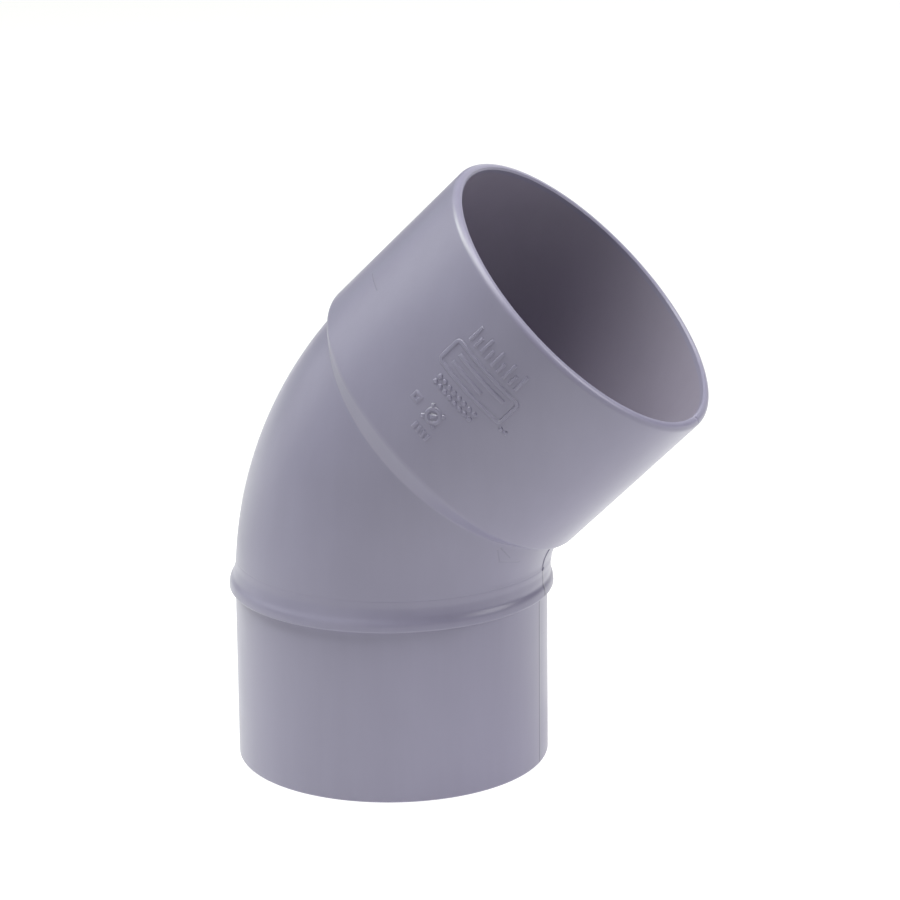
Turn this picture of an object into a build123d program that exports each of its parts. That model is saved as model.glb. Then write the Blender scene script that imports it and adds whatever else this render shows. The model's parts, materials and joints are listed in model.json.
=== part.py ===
from build123d import *
import os
from math import asin, cos, degrees, radians, sin, tan

# A 45 degree PVC drain bend for 90 mm pipe, with a plain spigot and a solvent-weld socket.
# The real fitting is one moulding. It is divided here at its working sections, and every
# section meets its neighbours face to face.
#
# Frame: the origin is the centre of the spigot's end face, +Z runs up the spigot's axis
# into the fitting, and the socket leans towards +X. Lengths are millimetres and angles
# degrees.

# ---------------------------------------------------------------- driving dimensions
pipe_d = 90.0             # outside diameter of the pipes that the fitting joins
spigot_wall = 3.0         # wall of the spigot and of the bend
spigot_length = 51.0      # from the end face to the underside of the stop bead
spigot_edge = 0.8         # rounding of the outer edge of the end face
spigot_lead = 0.4         # chamfer of the inner edge of the end face

bend_angle = 45.0
bend_radius = 75.2        # of the centre line

bead_d = 93.5             # over the level band round the stop bead
bead_underside_d = 92.6   # where the underside turns up into the band
bead_underside_rise = 0.4
bead_band_low = 0.9       # heights of the band above the underside
bead_band_high = 2.4
bead_round = 0.5          # rounding between the underside and the band
bead_step_d = 91.1        # where the steep step in from the band turns into the long taper
bead_step_slope = 45.0    # both measured from the spigot's axis
bead_taper_slope = 12.0

socket_bore_d = 90.3
socket_wall = 2.7
socket_depth = 52.8       # from the mouth to the ledge that stops the pipe
socket_reach = 82.85      # from the corner, where the two axes cross, to the mouth
shoulder_length = 2.75    # from the outer step to the ledge
shoulder_round = 2.0
rim_length = 4.0
rim_round = 1.8
rim_lead = 0.5            # chamfer inside the mouth

seam_turn = -3.0          # the flash and the gate lie this far round the tube from the throat
seam_width = 0.6          # thin ridge of flash on the parting line
seam_height = 0.25
seam_gap = 0.6            # from the ridge to the socket's shoulder
gate_d = 1.2              # stub left where the moulding was cut off its runner
gate_height = 0.4
gate_from_shoulder = 10.9

# Raised marks on the socket. A mark's place is its distance back from the mouth and its angle
# round the socket's axis: 0 faces -Y, and the angle grows towards the throat.
mark_height = 0.3
mark_stroke = 0.8         # width of a stroke

# ---------------------------------------------------------------- worked-out sizes
pipe_r = pipe_d / 2
waterway_r = pipe_r - spigot_wall
socket_bore_r = socket_bore_d / 2
socket_r = socket_bore_r + socket_wall
corner_z = spigot_length + bend_radius * tan(radians(bend_angle / 2))
ledge_at = socket_reach - socket_depth        # all three measured from the corner
shoulder_at = ledge_at - shoulder_length
rim_at = socket_reach - rim_length

lean = radians(bend_angle)
# Local frame of the socket: origin at the corner, Z out of the mouth, X towards the throat.
socket_frame = Plane(
    origin=(0, 0, corner_z),
    x_dir=(cos(lean), 0, -sin(lean)),
    z_dir=(sin(lean), 0, cos(lean)),
)
bend_axis = Axis((bend_radius, 0, spigot_length), (0, 1, 0))

touching = 0.01           # tolerance for picking an edge by its place
past = 1.0                # how far a cutting solid runs past what it cuts


# ---------------------------------------------------------------- helpers
def disc(radius, low, high):
    """Solid cylinder about local Z between two heights."""
    return Pos(0, 0, low) * Cylinder(radius, high - low, align=(Align.CENTER, Align.CENTER, Align.MIN))


def tube(outer_r, inner_r, low, high):
    return disc(outer_r, low, high) - disc(inner_r, low - past, high + past)


def rim_edges(solid, radius, height):
    """Circular edges of one radius, centred on local Z at one height."""
    return [
        edge
        for edge in solid.edges().filter_by(GeomType.CIRCLE)
        if abs(edge.radius - radius) < touching and abs(edge.arc_center.Z - height) < touching
    ]


def turned(radius):
    """The torus stretch swept by a disc of this radius round the whole bend."""
    section = Pos(0, 0, spigot_length) * Circle(radius)
    return revolve(section, bend_axis, bend_angle)


def beyond(distance):
    """Everything on the mouth's side of a plane across the socket's axis."""
    size = 4 * socket_reach
    block = Box(size, size, size, align=(Align.CENTER, Align.CENTER, Align.MIN))
    return socket_frame * Pos(0, 0, distance) * block


# ---------------------------------------------------------------- the tube sections
def make_spigot():
    body = tube(pipe_r, waterway_r, 0, spigot_length)
    body = fillet(rim_edges(body, pipe_r, 0), spigot_edge)
    return chamfer(rim_edges(body, waterway_r, 0), spigot_lead)


def make_bend():
    body = turned(pipe_r) - turned(waterway_r)
    return body - beyond(shoulder_at)


def make_stop_bead():
    """Ring that a mating socket's mouth comes up against: a sharp underside, a level band,
    a steep step in and a long taper that dies away into the bend."""
    inner_r = waterway_r
    underside_r = bead_underside_d / 2
    band_r = bead_d / 2
    step_r = bead_step_d / 2
    step_z = bead_band_high + (band_r - step_r) / tan(radians(bead_step_slope))
    taper_z = step_z + (step_r - inner_r) / tan(radians(bead_taper_slope))
    corner = (underside_r, bead_underside_rise)
    band_low = (band_r, bead_band_low)
    sides = Polyline(
        band_low,
        (band_r, bead_band_high),
        (step_r, step_z),
        (inner_r, taper_z),
        (inner_r, 0),
        (pipe_r, 0),
        corner,
    )
    rounding = RadiusArc(corner, band_low, -bead_round)
    outline = Plane.XZ * make_face(sides + rounding)
    return Pos(0, 0, spigot_length) * revolve(outline, Axis.Z) - turned(pipe_r)


def make_socket_shoulder():
    """Step out to the socket's width. Inside, it is the ledge that stops the pipe, with the
    waterway running on through it."""
    body = disc(socket_r, shoulder_at, ledge_at)
    body = fillet(rim_edges(body, socket_r, shoulder_at), shoulder_round)
    return socket_frame * body - turned(waterway_r)


def make_socket_sleeve():
    return socket_frame * tube(socket_r, socket_bore_r, ledge_at, rim_at)


def make_socket_rim():
    body = tube(socket_r, socket_bore_r, rim_at, socket_reach)
    body = fillet(rim_edges(body, socket_r, socket_reach), rim_round)
    return socket_frame * chamfer(rim_edges(body, socket_bore_r, socket_reach), rim_lead)


# ---------------------------------------------------------------- parting line and gate
def throat_angle(from_shoulder):
    """Angle round the bend of a point on the throat, this far down from the shoulder."""
    throat_radius = bend_radius - pipe_r
    before_bend_end = bend_radius * tan(lean / 2) - shoulder_at
    shoulder_angle = bend_angle - degrees(asin(before_bend_end / throat_radius))
    return shoulder_angle - degrees(from_shoulder / throat_radius)


def beside_throat(shape, angle):
    """Carry a shape from the spigot's top, at +X, to its place on the bend."""
    turned_aside = Rot(0, 0, seam_turn) * Pos(pipe_r, 0, 0) * shape
    return (Pos(0, 0, spigot_length) * turned_aside).rotate(bend_axis, angle)


def make_throat_seam():
    """Ridge of flash down the throat, from the shoulder to the gate."""
    start = throat_angle(gate_from_shoulder - gate_d / 2)
    stop = throat_angle(seam_gap)
    strip = beside_throat(Rectangle(2 * seam_height, seam_width), start)
    return revolve(strip, bend_axis, stop - start) - turned(pipe_r)


def make_gate_vestige():
    stub = Rot(0, 90, 0) * Cylinder(gate_d / 2, 2 * gate_height)
    return beside_throat(stub, throat_angle(gate_from_shoulder)) - turned(pipe_r)


# ---------------------------------------------------------------- raised marks on the socket
skin = tube(socket_r + mark_height, socket_r, shoulder_at, socket_reach)


def patch(back, half_height, angle, half_angle):
    """Raised patch with straight sides that follows the socket's round skin."""
    outline = Pos(socket_r + mark_height / 2, 0, socket_reach - back) * (
        Plane.XZ * Rectangle(mark_height, 2 * half_height)
    )
    solid = revolve(outline, Axis.Z, 2 * half_angle)
    return Rot(0, 0, angle - half_angle - 90) * solid


def stud(shape, back, angle):
    """Flat outline pushed out through the socket's skin, for marks a few millimetres wide.
    The outline's X runs towards the throat and its Y towards the mouth."""
    tangent = Plane(origin=(socket_r, 0, socket_reach - back), x_dir=(0, 1, 0), z_dir=(1, 0, 0))
    prism = tangent * extrude(shape, amount=socket_r / 4, both=True)
    return skin & (Rot(0, 0, angle - 90) * prism)


def on_socket(marks):
    solids = [solid for mark in marks for solid in (socket_frame * mark).solids()]
    return Compound(children=solids) if len(solids) > 1 else solids[0]


def degrees_for(length):
    """Angle that an arc length takes up on the socket's skin."""
    return degrees(length / socket_r)


def make_size_ticks():
    """Scale of long and short strokes, like the edge of a ruler."""
    count, first, pitch = 9, -12.2, 2.7
    middle, long_half, short_half = 12.0, 2.6, 1.6
    half_stroke = degrees_for(mark_stroke / 2)
    ticks = []
    for i in range(count):
        half = long_half if i % 2 == 0 else short_half
        back = middle + (long_half - half)      # every stroke stands on the same line
        ticks.append(patch(back, half, first + pitch * i, half_stroke))
    return on_socket(ticks)


def make_label_frame():
    """Empty border with rounded corners."""
    back, half_height, angle, half_angle, corner = 21.0, 4.4, -0.5, 14.8, 1.6
    outer = patch(back, half_height, angle, half_angle)
    inner = patch(back, half_height - mark_stroke, angle, half_angle - degrees_for(mark_stroke))

    def upright(solid):
        return [
            edge
            for edge in solid.edges().filter_by(GeomType.LINE)
            if abs(edge.length - mark_height) < touching
        ]

    outer = fillet(upright(outer), corner)
    inner = fillet(upright(inner), corner - mark_stroke)
    return on_socket([outer - inner])


def make_label_lines():
    """Two plain bars inside the border, one long and one short."""
    half_stroke, angle_long, angle_short = 0.5, -0.5, -4.0
    long_bar = patch(19.6, half_stroke, angle_long, 10.5)
    short_bar = patch(22.4, half_stroke, angle_short, 7.0)
    return on_socket([long_bar, short_bar])


def make_batch_pips():
    """Two rows of round pips."""
    pip_r, rows, count, first, pitch = 0.55, (28.1, 30.1), 8, -10.2, 2.35
    return on_socket(
        stud(Circle(pip_r), back, first + pitch * i)
        for back in rows
        for i in range(count)
    )


def make_cavity_square():
    side, hole, back, angle = 2.7, 1.1, 37.3, -10.8
    return on_socket([stud(Rectangle(side, side) - Rectangle(hole, hole), back, angle)])


dial_back, dial_angle = 37.3, -2.4


def make_date_dial():
    """Ring of a mould's date stamp, with a stroke outside it at every quarter."""
    ring_r, stroke_length, stroke_at = 2.4, 0.8, 3.0
    ring = Circle(ring_r) - Circle(ring_r - mark_stroke)
    stroke = Pos(stroke_at, 0) * Rectangle(stroke_length, mark_stroke)
    strokes = [Rot(0, 0, 45 + 90 * i) * stroke for i in range(4)]
    return on_socket(stud(shape, dial_back, dial_angle) for shape in [ring] + strokes)


def make_date_pointer():
    """Arrow inside the dial, turned to the month that it points at."""
    half_width, tail, notch, tip, pointing = 0.75, -0.9, -0.45, 1.25, -35
    arrow = make_face(Polyline((-half_width, tail), (0, tip), (half_width, tail), (0, notch), close=True))
    return on_socket([stud(Rot(0, 0, pointing) * arrow, dial_back, dial_angle)])


def make_grade_bars():
    count, first, pitch, back, width, height = 4, -4.6, 1.9, 43.0, 0.8, 2.0
    return on_socket(stud(Rectangle(width, height), back, first + pitch * i) for i in range(count))


def make_index_pips():
    pip_r, back, angles = 0.45, 25.9, (15.6, 17.6)
    return on_socket(stud(Circle(pip_r), back, angle) for angle in angles)


# ---------------------------------------------------------------- export
makers = {
    "spigot": make_spigot,
    "stop_bead": make_stop_bead,
    "bend": make_bend,
    "socket_shoulder": make_socket_shoulder,
    "socket_sleeve": make_socket_sleeve,
    "socket_rim": make_socket_rim,
    "throat_seam": make_throat_seam,
    "gate_vestige": make_gate_vestige,
    "size_ticks": make_size_ticks,
    "label_frame": make_label_frame,
    "label_lines": make_label_lines,
    "batch_pips": make_batch_pips,
    "cavity_square": make_cavity_square,
    "date_dial": make_date_dial,
    "date_pointer": make_date_pointer,
    "grade_bars": make_grade_bars,
    "index_pips": make_index_pips,
}

os.makedirs("parts", exist_ok=True)
for name, make in makers.items():
    node = make()
    node.label = name
    export_step(node, f"parts/{name}.step")
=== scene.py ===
import json
import math

import bmesh
import bpy
import numpy as np
from mathutils import Matrix, Vector


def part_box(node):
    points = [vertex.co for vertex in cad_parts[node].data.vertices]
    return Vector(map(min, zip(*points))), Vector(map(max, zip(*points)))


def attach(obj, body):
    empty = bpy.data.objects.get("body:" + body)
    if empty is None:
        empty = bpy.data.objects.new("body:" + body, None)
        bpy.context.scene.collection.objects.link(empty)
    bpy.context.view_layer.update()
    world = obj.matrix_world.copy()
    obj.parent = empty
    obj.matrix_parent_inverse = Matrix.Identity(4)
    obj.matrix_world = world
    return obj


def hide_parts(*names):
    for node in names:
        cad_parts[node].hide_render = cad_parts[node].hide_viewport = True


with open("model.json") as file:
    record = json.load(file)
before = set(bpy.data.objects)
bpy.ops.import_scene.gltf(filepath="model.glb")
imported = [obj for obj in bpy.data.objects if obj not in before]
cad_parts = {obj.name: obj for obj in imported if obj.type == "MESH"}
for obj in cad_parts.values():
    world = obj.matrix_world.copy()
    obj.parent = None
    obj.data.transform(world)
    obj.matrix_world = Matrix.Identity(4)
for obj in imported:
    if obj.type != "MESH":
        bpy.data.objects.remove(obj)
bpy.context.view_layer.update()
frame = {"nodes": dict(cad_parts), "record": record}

# A 45 degree PVC drain bend. One moulding, shown as the sections that the frame divides it
# into. Each section's skin is laid out as rings round the fitting's centre line, and all of
# them use the same columns, so that neighbours meet point to point and no seam shows.

MM = 0.001

# ---------------------------------------------------------------- sizes from the frame
mounts = {mount["name"]: mount for mount in frame["record"]["mounts"]}
PIPE_R = mounts["spigot"]["dims"]["r_mm"] * MM
BORE_R = mounts["socket"]["dims"]["r_mm"] * MM
AXIS = Vector(mounts["socket"]["axis"]).normalized()      # out of the socket's mouth
THROAT = Vector((AXIS.z, 0, -AXIS.x))                     # across it, towards the throat
SIDE = Vector((0, 1, 0))
BEND_ANGLE = math.atan2(AXIS.x, AXIS.z)
on_axis = Vector(mounts["socket"]["pos_m"])
CORNER = Vector((0, 0, on_axis.z - on_axis.x * AXIS.z / AXIS.x))  # where the two axes cross


def reach(node):
    """How far a node goes along the socket's axis, from the corner: lowest and highest."""
    along = [(vertex.co - CORNER).dot(AXIS) for vertex in frame["nodes"][node].data.vertices]
    return min(along), max(along)


SPIGOT_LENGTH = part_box("spigot")[1].z
WATERWAY_R = min(vertex.co.xy.length for vertex in frame["nodes"]["spigot"].data.vertices)
SOCKET_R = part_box("socket_sleeve")[1].y
SHOULDER_AT, LEDGE_AT = reach("socket_shoulder")
RIM_AT, MOUTH_AT = reach("socket_rim")
BEND_RADIUS = (CORNER.z - SPIGOT_LENGTH) / math.tan(BEND_ANGLE / 2)
BEND_END_AT = BEND_RADIUS * math.tan(BEND_ANGLE / 2)      # end of the arc, along the socket

# ---------------------------------------------------------------- sizes of the details
SPIGOT_EDGE = 0.8 * MM        # rounding of the spigot's outer end edge
SPIGOT_LEAD = 0.4 * MM
BEAD_CREST = 1.75 * MM        # how far the stop bead's level band stands out of the bend
BEAD_ROUND = 0.5 * MM         # rounding of the band's lower edge
STEP_FOOT = 3.8 * MM          # this far over the underside, a 45 degree step ends
BEAD_LENGTH = 9.0 * MM        # where the bead's section ends
TAPER_HEIGHT = 0.55 * MM      # how far the step's foot stands out
TAPER_SLOPE = math.tan(math.radians(12))
CREST_BLEND = 1.0 * MM        # softness of the corners of the bead's upper side
FOOT_BLEND = 0.4 * MM
WITNESS_AT = 8.7 * MM         # fine crease round the neck, left by the mould's insert
WITNESS_DEPTH = 0.05 * MM
WITNESS_WIDTH = 0.22 * MM
NECK_FULL = 0.35 * MM         # the neck is this much fuller on the throat side
NECK_AT = 6.5 * MM
NECK_LENGTH = 2.6 * MM
SEAT = 0.3 * MM               # the bend is cut back this much under the bead and the fillet
# The shoulder's sizes: MIDDLE is half-way round from the throat, and PARTING is at the throat
# and the back, where the mould's halves part.
SHOULDER_EARLY = 0.7 * MM     # how far its slope is set back, half-way round
SLOPE_MIDDLE, SLOPE_PARTING = math.radians(27), math.radians(84)
SLOPE_POWER = 1.2
FILLET_MIDDLE, FILLET_PARTING = 1.8 * MM, 0.8 * MM
ROUNDING_MIDDLE, ROUNDING_PARTING = 4.0 * MM, 2.0 * MM
ROUNDING_ROOM = 0.96          # the most that the fillet and the rounding take of the step
SHOULDER_JOIN = 2.0 * MM      # over the ledge: where the shoulder's skin gives way to the sleeve's
RIM_ROUND = 1.8 * MM
RIM_LEAD = 0.5 * MM
NOTCH_AT = math.radians(-1.75)  # nick where the parting line crosses the mouth's land
NOTCH_DEPTH = 0.65 * MM
NOTCH_WIDTH = 0.35 * MM

COLUMNS = 288
NOTCH_ARCS = (0.0, 0.15, 0.3, 0.45, 0.6, 0.8)             # extra columns at the nick, mm


def columns():
    """Angles round the tube, 0 towards the throat, crowded at the nick."""
    even = 2 * math.pi * np.arange(COLUMNS) / COLUMNS
    beside = [arc * MM / SOCKET_R for arc in NOTCH_ARCS]
    extra = [NOTCH_AT + side * angle for side in (-1, 1) for angle in beside]
    return np.unique(np.round(np.concatenate([even, np.array(extra) % (2 * math.pi)]), 9))


PHI = columns()
COS, SIN = np.cos(PHI), np.sin(PHI)
ARC_TO_NOTCH = SOCKET_R * np.abs((PHI - NOTCH_AT + math.pi) % (2 * math.pi) - math.pi)
NOTCH = NOTCH_DEPTH * np.exp(-((ARC_TO_NOTCH / NOTCH_WIDTH) ** 2))


# ---------------------------------------------------------------- rings of points
def around(centre, across, radius):
    """One ring of points: radius may differ from column to column."""
    radius = np.broadcast_to(radius, PHI.shape)
    outward = COS[:, None] * np.array(across) + SIN[:, None] * np.array(SIDE)
    return np.array(centre) + radius[:, None] * outward


def spigot_ring(radius, height):
    return around((0, 0, height), (1, 0, 0), radius)


def socket_ring(radius, along):
    along = np.broadcast_to(along, PHI.shape)
    return around(CORNER, THROAT, radius) + along[:, None] * np.array(AXIS)


def bend_ring(radius, angle):
    """Ring on the bend's torus; angle, radians round the bend, may differ by column."""
    from_bend_axis = BEND_RADIUS - radius * COS
    angle = np.broadcast_to(angle, PHI.shape)
    return np.stack(
        [
            BEND_RADIUS - from_bend_axis * np.cos(angle),
            radius * SIN,
            SPIGOT_LENGTH + from_bend_axis * np.sin(angle),
        ],
        axis=1,
    )


def angle_at_height(radius, above):
    """Where each column of the torus passes a level plane above the spigot's top."""
    return np.arcsin(above / (BEND_RADIUS - radius * COS))


def angle_at_socket(radius, along):
    """Where each column of the torus passes a plane across the socket's axis."""
    return BEND_ANGLE + np.arcsin((along - BEND_END_AT) / (BEND_RADIUS - radius * COS))


def steps(low, high, count):
    """Values from low to high, both ends in."""
    return [low + (high - low) * i / count for i in range(count + 1)]


def arc_points(centre, radius, start, stop, count=10):
    """Points of a fillet, as (radius, height) pairs; angles in degrees."""
    for degrees in steps(start, stop, count):
        angle = math.radians(degrees)
        yield centre[0] + radius * math.cos(angle), centre[1] + radius * math.sin(angle)


# ---------------------------------------------------------------- meshes from rings
SHARP = math.radians(28)


def piece(name, outside, inside, nodes):
    """Closed solid from rings that run along its outside and back along its inside.
    The last ring joins the first, and the bands of the inside take the second material,
    whose warmer tint is painted shade."""
    rings = outside + inside
    count, width = len(rings), len(PHI)
    mesh = bpy.data.meshes.new(name)
    faces = []
    for i in range(count):
        here, after = i * width, (i + 1) % count * width
        for j in range(width):
            k = (j + 1) % width
            faces.append((here + j, here + k, after + k, after + j))
    mesh.from_pydata(np.concatenate(rings).tolist(), [], faces)
    for face in mesh.polygons[len(outside) * width:(count - 1) * width]:
        face.material_index = 1
    return finished(mesh, name, [skin, bore_painted_shade], nodes)


def finished(mesh, name, materials, nodes):
    """Object for a mesh that stands for CAD nodes and rides on the one body."""
    bm = bmesh.new()
    bm.from_mesh(mesh)
    bmesh.ops.recalc_face_normals(bm, faces=bm.faces)
    bm.to_mesh(mesh)
    bm.free()
    mesh.shade_smooth()
    mesh.set_sharp_from_angle(angle=SHARP)
    for material in materials:
        mesh.materials.append(material)
    obj = bpy.data.objects.new(name, mesh)
    bpy.context.scene.collection.objects.link(obj)
    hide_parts(*nodes)
    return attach(obj, "root")


# ---------------------------------------------------------------- the sections
def make_spigot():
    top = SPIGOT_LENGTH
    edge = arc_points((PIPE_R - SPIGOT_EDGE, SPIGOT_EDGE), SPIGOT_EDGE, 270, 360)
    outside = [spigot_ring(r, z) for r, z in edge]
    outside += [spigot_ring(PIPE_R, z) for z in steps(2 * SPIGOT_EDGE, top, 24)]
    inside = [spigot_ring(WATERWAY_R, z) for z in steps(top, SPIGOT_LEAD, 24)]
    inside.append(spigot_ring(WATERWAY_R + SPIGOT_LEAD, 0))
    piece("spigot", outside, inside, ["spigot"])


def soft_min(a, b, blend):
    return (a + b - np.hypot(a - b, blend)) / 2


def soft_max(a, b, blend):
    return (a + b + np.hypot(a - b, blend)) / 2


def bead_height(above):
    """How far the bead stands out of the bend, at a height over its rounded lower edge:
    a level band, a 45 degree step, a slow taper, and at last the witness crease."""
    step = TAPER_HEIGHT + STEP_FOOT - above
    taper = TAPER_HEIGHT - TAPER_SLOPE * (above - STEP_FOOT)
    profile = soft_max(soft_min(BEAD_CREST, step, CREST_BLEND), taper, FOOT_BLEND)
    crease = WITNESS_DEPTH * np.exp(-(((above - WITNESS_AT) / WITNESS_WIDTH) ** 2))
    return soft_max(profile, 0, FOOT_BLEND / 3) - crease


def fullness(above):
    """How much fuller the neck is than the bend's torus, column by column."""
    return NECK_FULL * np.exp(-(((above - NECK_AT) / NECK_LENGTH) ** 4)) * np.maximum(COS, 0) ** 4


def bend_level_ring(radius, above, stand_out=0.0):
    """Level ring on the bend, moved outwards by stand_out."""
    ring = bend_ring(radius, angle_at_height(radius, above))
    outward = COS[:, None] * np.array((1, 0, 0)) + SIN[:, None] * np.array(SIDE)
    return ring + np.broadcast_to(stand_out, PHI.shape)[:, None] * outward


def make_stop_bead():
    lower_edge = arc_points((BEAD_CREST - BEAD_ROUND, BEAD_ROUND), BEAD_ROUND, 270, 360, 8)
    outside = [bend_level_ring(PIPE_R, 0)]
    outside += [bend_level_ring(PIPE_R, above, stand_out) for stand_out, above in lower_edge]
    for above in steps(2 * BEAD_ROUND, BEAD_LENGTH, 80):
        outside.append(bend_level_ring(PIPE_R, above, bead_height(above) + fullness(above)))
    seat = [bend_level_ring(PIPE_R - SEAT, above) for above in steps(BEAD_LENGTH, 0, 12)]
    piece("stop_bead", outside, seat, ["stop_bead"])


def bend_skin_ring(angle):
    """Ring on the bend's outside, fuller at the neck's throat side."""
    ring = bend_ring(PIPE_R, angle)
    outward = np.stack([COS * np.cos(angle), SIN, -COS * np.sin(angle)], axis=1)
    return ring + fullness(ring[:, 2] - SPIGOT_LENGTH)[:, None] * outward


class ShoulderCurve:
    """Section of the shoulder, column by column: fillet, cone and rounding. It is a crisp step
    where the mould's halves part, and eases into a long slope half-way between."""

    def __init__(self):
        sideways, parting = SIN ** 2, COS ** 2
        self.slope = SLOPE_MIDDLE + (SLOPE_PARTING - SLOPE_MIDDLE) * (1 - np.abs(SIN)) ** SLOPE_POWER
        self.fillet = FILLET_MIDDLE * sideways + FILLET_PARTING * parting
        middle = SHOULDER_AT - SHOULDER_EARLY * sideways
        self.start = middle
        for _ in range(12):       # the start and the skin's width there settle each other
            skin = bend_ring(PIPE_R, angle_at_socket(PIPE_R, self.start)) - np.array(CORNER)
            skin -= self.start[:, None] * np.array(AXIS)
            skin_r = np.linalg.norm(skin, axis=1)
            half_gap = (SOCKET_R - skin_r) / 2
            self.tilt = (BEND_ANGLE - angle_at_socket(PIPE_R, self.start)) * COS
            inset = half_gap * np.cos(self.slope) + self.fillet * (1 - np.cos(self.slope + self.tilt))
            self.start = middle - inset / np.sin(self.slope)
        room = ROUNDING_ROOM * 2 * half_gap / (1 - np.cos(self.slope)) - self.fillet
        self.rounding = np.minimum(ROUNDING_MIDDLE * sideways + ROUNDING_PARTING * parting, room)
        self.direction = skin / skin_r[:, None]
        self.fillet_centre = (
            skin_r + self.fillet * np.cos(self.tilt),
            self.start + self.fillet * np.sin(self.tilt),
        )
        cone_end = middle + half_gap / np.tan(self.slope)
        self.crest = cone_end + self.rounding * np.tan(self.slope / 2)

    def ring(self, radius, along):
        """Ring of points at a distance from the socket's axis and along it."""
        return np.array(CORNER) + radius[:, None] * self.direction + along[:, None] * np.array(AXIS)

    def rings(self):
        """The skin: round the fillet, straight up the cone, and round on to the socket."""
        first, last = math.pi + self.tilt, math.pi - self.slope
        radius, along = self.fillet_centre
        for share in steps(0, 1, 14):
            turn = first + share * (last - first)
            yield self.ring(radius + self.fillet * np.cos(turn), along + self.fillet * np.sin(turn))
        for share in steps(-1, 0, 14):
            turn = share * self.slope
            inset = self.rounding * (1 - np.cos(turn))
            yield self.ring(SOCKET_R - inset, self.crest + self.rounding * np.sin(turn))

    def seat(self, share):
        """Ring where the bend is cut back under the fillet, from its start, 0, to its end, 1."""
        along = self.start + share * (SHOULDER_AT - self.start)
        return bend_ring(PIPE_R - SEAT, angle_at_socket(PIPE_R - SEAT, along))


def make_bend(shoulder):
    skin_start = angle_at_height(PIPE_R, BEAD_LENGTH)
    skin_end = angle_at_socket(PIPE_R, shoulder.start)
    outside = [bend_level_ring(PIPE_R - SEAT, above) for above in steps(0, BEAD_LENGTH, 12)]
    for share in steps(0, 1, 80):
        outside.append(bend_skin_ring(skin_start + share * (skin_end - skin_start)))
    outside += [shoulder.seat(0), shoulder.seat(1)]
    bore_end = angle_at_socket(WATERWAY_R, SHOULDER_AT)
    inside = [bend_ring(WATERWAY_R, share * bore_end) for share in steps(1, 0, 64)]
    piece("bend", outside, inside, ["bend"])


def make_socket_shoulder(shoulder):
    join = socket_ring(SOCKET_R, LEDGE_AT + SHOULDER_JOIN)
    outside = [shoulder.seat(1), shoulder.seat(0), *shoulder.rings(), join]
    inside = [
        socket_ring(BORE_R, LEDGE_AT),
        socket_ring(WATERWAY_R, LEDGE_AT),
        bend_ring(WATERWAY_R, angle_at_socket(WATERWAY_R, SHOULDER_AT)),
    ]
    piece("socket_shoulder", outside, inside, ["socket_shoulder"])


def make_socket_sleeve():
    join = LEDGE_AT + SHOULDER_JOIN
    outside = [socket_ring(SOCKET_R, along) for along in steps(join, RIM_AT, 24)]
    inside = [socket_ring(BORE_R, along) for along in steps(RIM_AT, LEDGE_AT, 24)]
    piece("socket_sleeve", outside, inside, ["socket_sleeve"])


def make_socket_rim():
    round_at = MOUTH_AT - RIM_ROUND
    outside = [socket_ring(SOCKET_R, along) for along in steps(RIM_AT, round_at, 3)[:-1]]
    for r, along in arc_points((SOCKET_R - RIM_ROUND, round_at), RIM_ROUND, 0, 90, 18):
        share = (SOCKET_R - r) / RIM_ROUND
        outside.append(socket_ring(r, along - NOTCH * share))
    outside.append(socket_ring(BORE_R + RIM_LEAD, MOUTH_AT - NOTCH))
    outside.append(socket_ring(BORE_R, MOUTH_AT - RIM_LEAD - NOTCH))
    under_notch = MOUTH_AT - RIM_LEAD - 2 * NOTCH_DEPTH
    inside = [socket_ring(BORE_R, along) for along in steps(under_notch, RIM_AT, 4)]
    piece("socket_rim", outside, inside, ["socket_rim"])


# ---------------------------------------------------------------- raised marks and flash
MARK_ROUND = 0.2 * MM
MARK_FLARE = 0.25 * MM        # a mark is this much wider at its foot on every side
MARK_WELD = 0.002 * MM        # corners of the CAD mesh this close are one


def from_socket_axis(point):
    away = point - CORNER
    return away - AXIS * away.dot(AXIS)


def softened(name, material):
    """A small raised mark: the CAD solid's own outline, with its top rounded and its sides
    sloped, as they are where a shallow engraving in the mould fills with plastic."""
    mesh = frame["nodes"][name].data.copy()
    mesh.materials.clear()
    bm = bmesh.new()
    bm.from_mesh(mesh)
    bmesh.ops.remove_doubles(bm, verts=bm.verts, dist=MARK_WELD)
    bm.normal_update()
    over_foot = SOCKET_R + MARK_ROUND / 2
    top = [
        edge
        for edge in bm.edges
        if len(edge.link_faces) == 2
        and edge.calc_face_angle() > SHARP
        and min(from_socket_axis(vertex.co).length for vertex in edge.verts) > over_foot
    ]
    bmesh.ops.bevel(
        bm, geom=top, offset=MARK_ROUND, segments=3, profile=0.5, affect="EDGES", clamp_overlap=True
    )
    bm.normal_update()
    moves = []
    for vertex in bm.verts:
        out = from_socket_axis(vertex.co)
        if out.length < SOCKET_R + MARK_ROUND / 4:
            out.normalize()
            sideways = vertex.normal - out * vertex.normal.dot(out)
            moves.append((vertex, sideways.normalized() * MARK_FLARE))
    for vertex, move in moves:
        vertex.co += move
    bm.to_mesh(mesh)
    bm.free()
    mesh.name = name + "_soft"
    return finished(mesh, name + "_piece", [material], [name])


# The parting line runs up the middle of the throat's side. At the neck it turns aside, along
# the flash, and comes part of the way back along the socket, to the nick in the mouth.
LINE_TURNS = ((55.0, 66.0, -3.6), (70.0, 95.0, 2.1))      # from and to a height, and how far: mm
FLASH_WIDTH = 0.6 * MM
FLASH_HEIGHT = 0.2 * MM
GATE_HEIGHT = 0.3 * MM


def smooth_step(value, low, high):
    share = min(max((value - low) / (high - low), 0.0), 1.0)
    return share * share * (3 - 2 * share)


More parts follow.
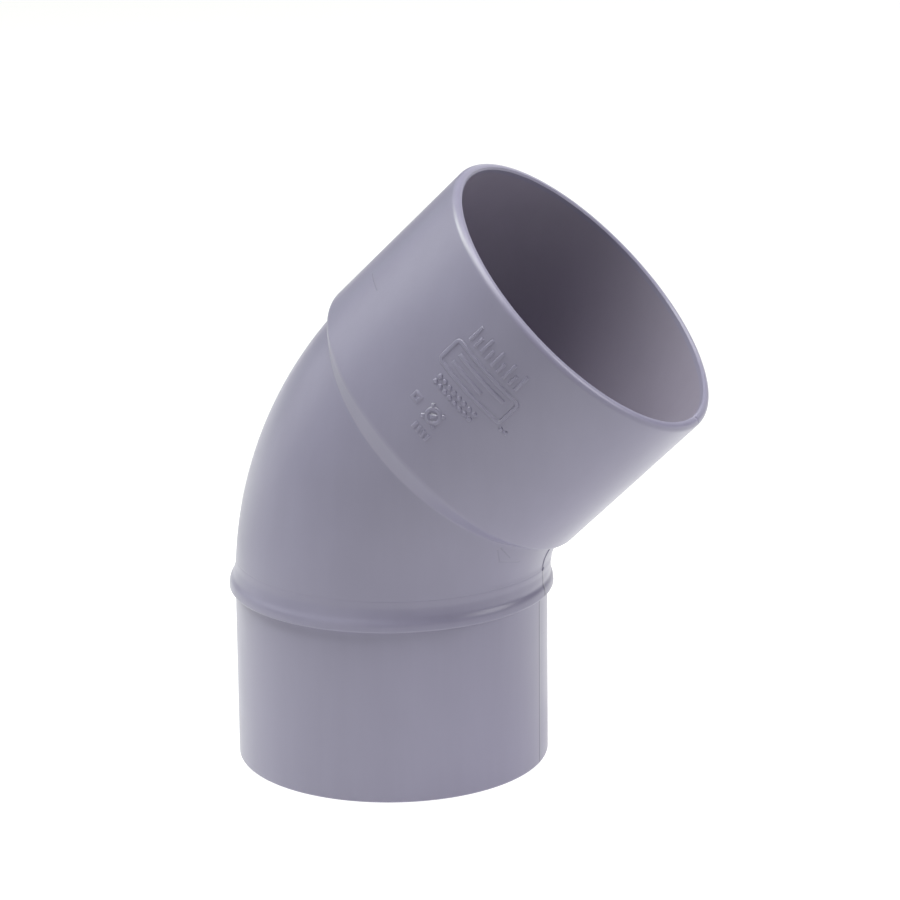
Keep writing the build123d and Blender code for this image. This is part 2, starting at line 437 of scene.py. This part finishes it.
def line_aside(height):
    """How far the parting line lies from the middle of the throat's side, at a height."""
    return sum(aside * MM * smooth_step(height / MM, low, high) for low, high, aside in LINE_TURNS)


def neck_point(height, aside, out=0.0):
    """Point over the bend's skin, near the throat: aside is its distance from the middle."""
    turn = math.asin(aside / PIPE_R)
    angle = math.asin((height - SPIGOT_LENGTH) / (BEND_RADIUS - PIPE_R * math.cos(turn)))
    full_turn = 2 * math.pi
    fuller = np.interp(turn % full_turn, PHI, fullness(height - SPIGOT_LENGTH), period=full_turn)
    radius = PIPE_R + fuller + out
    from_bend_axis = BEND_RADIUS - radius * math.cos(turn)
    return (
        BEND_RADIUS - from_bend_axis * math.cos(angle),
        radius * math.sin(turn),
        SPIGOT_LENGTH + from_bend_axis * math.sin(angle),
    )


def closed_stack(name, loops, material):
    """Solid from a stack of closed loops of points, with a cap on the first and the last."""
    width = len(loops[0])
    faces = [tuple(range(width)), tuple(range((len(loops) - 1) * width, len(loops) * width))]
    for i in range(len(loops) - 1):
        for j in range(width):
            k = (j + 1) % width
            faces.append((i * width + j, i * width + k, (i + 1) * width + k, (i + 1) * width + j))
    mesh = bpy.data.meshes.new(name)
    mesh.from_pydata([point for loop in loops for point in loop], [], faces)
    return finished(mesh, name + "_piece", [material], [name])


def make_throat_seam():
    """Flash along the parting line, from the gate to the shoulder, dying away at both ends."""
    low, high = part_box("throat_seam")[0].z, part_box("throat_seam")[1].z
    loops = []
    for height in steps(low, high, 40):
        swell = math.sqrt(min(1.0, 0.04 + min(height - low, high - height) / FLASH_WIDTH))
        loop = []
        for turn in steps(0, 2 * math.pi, 14)[:-1]:
            across = FLASH_WIDTH / 2 * math.cos(turn) * swell
            out = FLASH_HEIGHT * math.sin(turn) * swell
            loop.append(neck_point(height, line_aside(height) + across, out))
        loops.append(loop)
    closed_stack("throat_seam", loops, flash)


def make_gate_vestige():
    """Low stub where the moulding was cut off its runner."""
    low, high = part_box("gate_vestige")[0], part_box("gate_vestige")[1]
    radius, middle = (high.y - low.y) / 2, (high.z + low.z) / 2
    loops = []
    for rise in steps(-0.3, math.pi / 2 - 0.05, 8):
        wide, out = radius * math.cos(rise), GATE_HEIGHT * math.sin(rise)
        loop = []
        for turn in steps(0, 2 * math.pi, 20)[:-1]:
            aside = line_aside(middle) + wide * math.cos(turn)
            loop.append(neck_point(middle + wide * math.sin(turn), aside, out))
        loops.append(loop)
    closed_stack("gate_vestige", loops, flash)


# ---------------------------------------------------------------- materials
class Graph:
    """One material's shader nodes, in the frame's own coordinates."""

    def __init__(self, name):
        self.material = bpy.data.materials.new(name)
        self.material.use_nodes = True
        self.nodes, self.links = self.material.node_tree.nodes, self.material.node_tree.links
        self.nodes.clear()
        self.shader = self.nodes.new("ShaderNodeBsdfPrincipled")
        out = self.nodes.new("ShaderNodeOutputMaterial")
        self.links.new(self.shader.outputs["BSDF"], out.inputs["Surface"])
        self.place = self.nodes.new("ShaderNodeTexCoord").outputs["Object"]

    def put(self, socket, value):
        """Give an input a value, or a link when the value is another node's output."""
        if isinstance(value, bpy.types.NodeSocket):
            self.links.new(value, socket)
        else:
            socket.default_value = value

    def math(self, operation, *values):
        node = self.nodes.new("ShaderNodeMath")
        node.operation = operation
        for socket, value in zip(node.inputs, values):
            self.put(socket, value)
        return node.outputs["Value"]

    def vector(self, operation, *values, output="Vector"):
        node = self.nodes.new("ShaderNodeVectorMath")
        node.operation = operation
        for socket, value in zip(node.inputs, values):
            self.put(socket, value)
        return node.outputs[output]

    def noise(self, scale, detail=3.0, rough=0.5, stretch=(1, 1, 1)):
        node = self.nodes.new("ShaderNodeTexNoise")
        node.inputs["Scale"].default_value = scale
        node.inputs["Detail"].default_value = detail
        node.inputs["Roughness"].default_value = rough
        self.put(node.inputs["Vector"], self.vector("MULTIPLY", self.place, stretch))
        return node.outputs["Fac"]

    def spread(self, value, low, high, out_low, out_high, curve="LINEAR"):
        node = self.nodes.new("ShaderNodeMapRange")
        node.interpolation_type = curve
        limits = {"From Min": low, "From Max": high, "To Min": out_low, "To Max": out_high}
        for name, number in limits.items():
            node.inputs[name].default_value = number
        self.put(node.inputs["Value"], value)
        return node.outputs["Result"]

    def tint(self, factor, dark, light):
        node = self.nodes.new("ShaderNodeMix")
        node.data_type = "RGBA"
        node.inputs["A"].default_value = (*dark, 1)
        node.inputs["B"].default_value = (*light, 1)
        self.put(node.inputs["Factor"], factor)
        return node.outputs["Result"]

    def bell(self, distance, width):
        """1 on a line and 0 away from it."""
        share = self.math("DIVIDE", distance, width)
        return self.math("EXPONENT", self.math("MULTIPLY", self.math("MULTIPLY", share, share), -1.0))

    def relief(self, height):
        """Bump from a height in metres."""
        node = self.nodes.new("ShaderNodeBump")
        node.inputs["Distance"].default_value = 1.0
        self.put(node.inputs["Height"], height)
        self.put(self.shader.inputs["Normal"], node.outputs["Normal"])


LINE_WIDTH = 0.55 * MM
LINE_HEIGHT = 0.08 * MM
# The line's darkening is painted shade, for the shadow of the small step along it.
LINE_PAINTED_SHADE = 0.4                                          # how much darker the line is


def parting_line(graph):
    """1 on the parting line, on both sides of the tube, and 0 away from it and on the rim."""
    axes = graph.nodes.new("ShaderNodeSeparateXYZ")
    graph.put(axes.inputs["Vector"], graph.place)
    throat_side = graph.math("GREATER_THAN", axes.outputs["X"], PIPE_R / 2)
    line = 0.0
    for low, high, aside in LINE_TURNS:
        turn = graph.spread(axes.outputs["Z"], low * MM, high * MM, 0, aside * MM, "SMOOTHSTEP")
        line = graph.math("ADD", turn, line)
    aside = graph.math("SUBTRACT", axes.outputs["Y"], graph.math("MULTIPLY", line, throat_side))
    from_corner = graph.vector("SUBTRACT", graph.place, tuple(CORNER))
    along = graph.vector("DOT_PRODUCT", from_corner, tuple(AXIS), output="Value")
    short_of_rim = graph.spread(along, RIM_AT, MOUTH_AT - RIM_ROUND, 1, 0)
    return graph.math("MULTIPLY", graph.bell(aside, LINE_WIDTH), short_of_rim)


def scratch(graph, start, end, width):
    """1 along a straight stroke between two points, and 0 away from it."""
    stroke = Vector(end) - Vector(start)
    from_start = graph.vector("SUBTRACT", graph.place, tuple(start))
    along = graph.vector("DOT_PRODUCT", from_start, tuple(stroke), output="Value")
    share = graph.math("DIVIDE", along, stroke.length_squared)
    nearest = graph.nodes.new("ShaderNodeVectorMath")
    nearest.operation = "SCALE"
    nearest.inputs[0].default_value = tuple(stroke)
    graph.put(nearest.inputs["Scale"], graph.math("MINIMUM", graph.math("MAXIMUM", share, 0.0), 1.0))
    away = graph.vector("DISTANCE", from_start, nearest.outputs["Vector"], output="Value")
    return graph.bell(away, width)


PEEL = ((45, 0.010), (700, 0.0016), (2600, 0.0006))       # orange peel: noise scale and depth, mm
PVC_IOR = 1.53
FULL_SHADE = 1.1                                          # the lightest shade that the tone takes


def pvc(name, tone, roughness, scratches=(), moulded=True):
    """Semi-gloss PVC: faint cloudy tone, flow streaks, orange peel, fine scuffs, and, where
    it was moulded against the outer tool, the parting line and a few scratches. The
    parting line is darkened with painted shade."""
    graph = Graph(name)
    graph.shader.inputs["IOR"].default_value = PVC_IOR

    cloudy = graph.spread(graph.noise(28, 2), 0.3, 0.7, -0.5, 0.5)
    streaks = graph.spread(graph.noise(160, 4, 0.6, (1, 1, 0.12)), 0.3, 0.7, -0.3, 0.3)
    shade = graph.spread(graph.math("ADD", cloudy, streaks), -0.8, 0.8, 0.95, 1.05)

    layers = [graph.spread(graph.noise(scale, 2), 0, 1, 0, depth * MM) for scale, depth in PEEL]
    height = layers[0]
    for layer in layers[1:]:
        height = graph.math("ADD", height, layer)

    if moulded:
        line = parting_line(graph)
        height = graph.math("MULTIPLY_ADD", line, LINE_HEIGHT, height)
        # Painted shade: the tone is darker along the parting line.
        shade = graph.math("MULTIPLY", shade, graph.spread(line, 0, 1, 1, 1 - LINE_PAINTED_SHADE))
    for start, end, width, darker in scratches:
        stroke = scratch(graph, start, end, width)
        height = graph.math("MULTIPLY_ADD", stroke, -width / 3, height)
        shade = graph.math("MULTIPLY", shade, graph.spread(stroke, 0, 1, 1, 1 - darker))
    graph.relief(height)
    full_tone = [FULL_SHADE * channel for channel in tone]
    colour = graph.tint(graph.math("DIVIDE", shade, FULL_SHADE), (0, 0, 0), full_tone)
    graph.put(graph.shader.inputs["Base Color"], colour)

    scuffs = graph.spread(graph.noise(900, 5, 0.7, (1, 0.15, 1)), 0.62, 0.8, 0, 0.12)
    patches = graph.spread(graph.noise(60, 3), 0.3, 0.7, roughness, roughness + 0.05)
    graph.put(graph.shader.inputs["Roughness"], graph.math("ADD", patches, scuffs))
    return graph.material


FLOOR_GLOW = 0.24             # pale floor lit from within, like a light table
TABLE_GLOW = 0.91             # brighter under and close round the fitting
BACK_GLOW = 0.68              # and behind it


def floor_material():
    """Pale and partly lit from within, so that the fitting throws next to no shadow."""
    graph = Graph("studio_floor")
    graph.shader.inputs["Base Color"].default_value = (0.3, 0.3, 0.3, 1)
    graph.shader.inputs["Roughness"].default_value = 0.9
    graph.shader.inputs["Specular IOR Level"].default_value = 0.2
    graph.shader.inputs["Emission Color"].default_value = (1, 1, 1, 1)
    distance = graph.vector("LENGTH", graph.place, output="Value")
    behind = graph.vector("DOT_PRODUCT", graph.place, (0, 1, 0), output="Value")
    table = graph.spread(distance, 0.2, 0.32, TABLE_GLOW, FLOOR_GLOW, "SMOOTHSTEP")
    back = graph.spread(behind, 0.0, 0.3, FLOOR_GLOW, BACK_GLOW, "SMOOTHSTEP")
    graph.put(graph.shader.inputs["Emission Strength"], graph.math("MAXIMUM", table, back))
    return graph.material


# ---------------------------------------------------------------- camera, floor and light
CAMERA_AZIMUTH, CAMERA_ELEVATION, CAMERA_ROLL = 19.816, 16.279, -0.521    # degrees
CAMERA_TARGET = Vector((18.28, 0, 91.89)) * MM
CAMERA_DISTANCE = 1036.2 * MM
CAMERA_LENS = 145.98          # mm, on a 36 mm sensor
MIDDLE = Vector((0.02, 0, 0.09))                          # of the fitting, where the lights aim
SOFTBOX_DISTANCE = 2.0
SOFTBOX_SIZE = 1.1
FLOOR_REACH = 6.0


def direction(azimuth, elevation):
    """Unit vector away from the fitting; both in degrees, azimuth 0 is towards -Y."""
    azimuth, elevation = math.radians(azimuth), math.radians(elevation)
    level = math.cos(elevation)
    return Vector((math.sin(azimuth) * level, -math.cos(azimuth) * level, math.sin(elevation)))


def make_camera():
    back = direction(CAMERA_AZIMUTH, CAMERA_ELEVATION)
    data = bpy.data.cameras.new("camera")
    data.sensor_width = 36
    data.lens = CAMERA_LENS
    data.clip_start, data.clip_end = 0.05, 20
    camera = bpy.data.objects.new("camera", data)
    camera.rotation_mode = "QUATERNION"
    camera.location = CAMERA_TARGET + back * CAMERA_DISTANCE
    level = (-back).to_track_quat("-Z", "Y")
    roll = Matrix.Rotation(math.radians(CAMERA_ROLL), 3, "Z")
    camera.rotation_quaternion = level @ roll.to_quaternion()
    bpy.context.scene.collection.objects.link(camera)
    bpy.context.scene.camera = camera


def make_floor():
    mesh = bpy.data.meshes.new("floor")
    corners = [(x * FLOOR_REACH, y * FLOOR_REACH, 0) for x, y in ((-1, -1), (1, -1), (1, 1), (-1, 1))]
    mesh.from_pydata(corners, [], [(0, 1, 2, 3)])
    mesh.materials.append(floor_material())
    floor = bpy.data.objects.new("floor", mesh)
    bpy.context.scene.collection.objects.link(floor)


def softbox(name, azimuth, elevation, power, colour):
    """Square area light that faces the fitting's middle."""
    away = direction(azimuth, elevation)
    data = bpy.data.lights.new(name, "AREA")
    data.shape = "SQUARE"
    data.size = SOFTBOX_SIZE
    data.energy = power
    data.color = colour
    lamp = bpy.data.objects.new(name, data)
    lamp.location = MIDDLE + away * SOFTBOX_DISTANCE
    lamp.rotation_mode = "QUATERNION"
    lamp.rotation_quaternion = (-away).to_track_quat("-Z", "Y")
    lamp.visible_camera = False
    bpy.context.scene.collection.objects.link(lamp)


def make_world():
    world = bpy.data.worlds.new("studio")
    world.use_nodes = True
    world.node_tree.nodes["Background"].inputs["Color"].default_value = (1, 1, 1, 1)
    world.node_tree.nodes["Background"].inputs["Strength"].default_value = 0.0
    bpy.context.scene.world = world
    bpy.context.scene.view_settings.view_transform = "Standard"


WHITE = (1.0, 1.0, 1.0)
SOFT_GREEN = (0.94, 1.0, 0.88)
# Softboxes: where each stands round the fitting and over it, degrees, its power in watts and
# its colour.
SOFTBOXES = (
    ("backdrop", 180, 10, 4.5, WHITE),
    ("left_low", 260, 10, 1.8, WHITE),
    ("front_low", 340, 10, 2.1, WHITE),
    ("right", 100, 28, 16.6, WHITE),
    ("left", 270, 48, 24.6, SOFT_GREEN),
    ("front_top", 0, 70, 17.8, WHITE),
    ("back_top", 120, 70, 19.5, WHITE),
    ("left_top", 300, 70, 19.0, SOFT_GREEN),
)


# ---------------------------------------------------------------- the scene
make_camera()
make_floor()
make_world()
for box in SOFTBOXES:
    softbox(*box)


def on_socket(from_mouth, turn):
    """Point of the socket's skin; turn is in degrees round it from the throat."""
    turn = math.radians(turn)
    outward = THROAT * math.cos(turn) + SIDE * math.sin(turn)
    return CORNER + AXIS * (MOUTH_AT - from_mouth * MM) + SOCKET_R * outward


# Scratches and scuffs: start, end, width and how much darker they are.
SCRATCHES = (
    (on_socket(34.8, -155.0), on_socket(34.2, -149.5), 0.16 * MM, 0.3),
    (on_socket(34.2, -149.5), on_socket(33.4, -143.5), 0.16 * MM, 0.3),
    (neck_point(73.6 * MM, -27.4 * MM), neck_point(69.4 * MM, -22.8 * MM), 0.2 * MM, 0.15),
    (neck_point(73.0 * MM, -27.8 * MM), neck_point(69.2 * MM, -25.6 * MM), 0.2 * MM, 0.12),
    (neck_point(68.8 * MM, -25.5 * MM), neck_point(67.0 * MM, -18.5 * MM), 0.2 * MM, 0.1),
)
GREY = (0.255, 0.241, 0.335)
# The inside's grey is the outside's plastic, tinted warmer as painted shade.
BORE_GREY_PAINTED_SHADE = (0.267, 0.241, 0.314)
FLASH_GREY = [0.8 * channel for channel in GREY]
skin = pvc("pvc_moulded", GREY, 0.285, SCRATCHES)
mark = pvc("pvc_marks", GREY, 0.285, moulded=False)
bore_painted_shade = pvc("pvc_bore_painted_shade", BORE_GREY_PAINTED_SHADE, 0.32, moulded=False)
flash = pvc("pvc_flash", FLASH_GREY, 0.5, moulded=False)

shoulder_curve = ShoulderCurve()
make_spigot()
make_stop_bead()
make_bend(shoulder_curve)
make_socket_shoulder(shoulder_curve)
make_socket_sleeve()
make_socket_rim()
for raised in (
    "size_ticks", "label_frame", "label_lines", "batch_pips", "cavity_square",
    "date_dial", "date_pointer", "grade_bars", "index_pips",
):
    softened(raised, mark)
make_throat_seam()
make_gate_vestige()
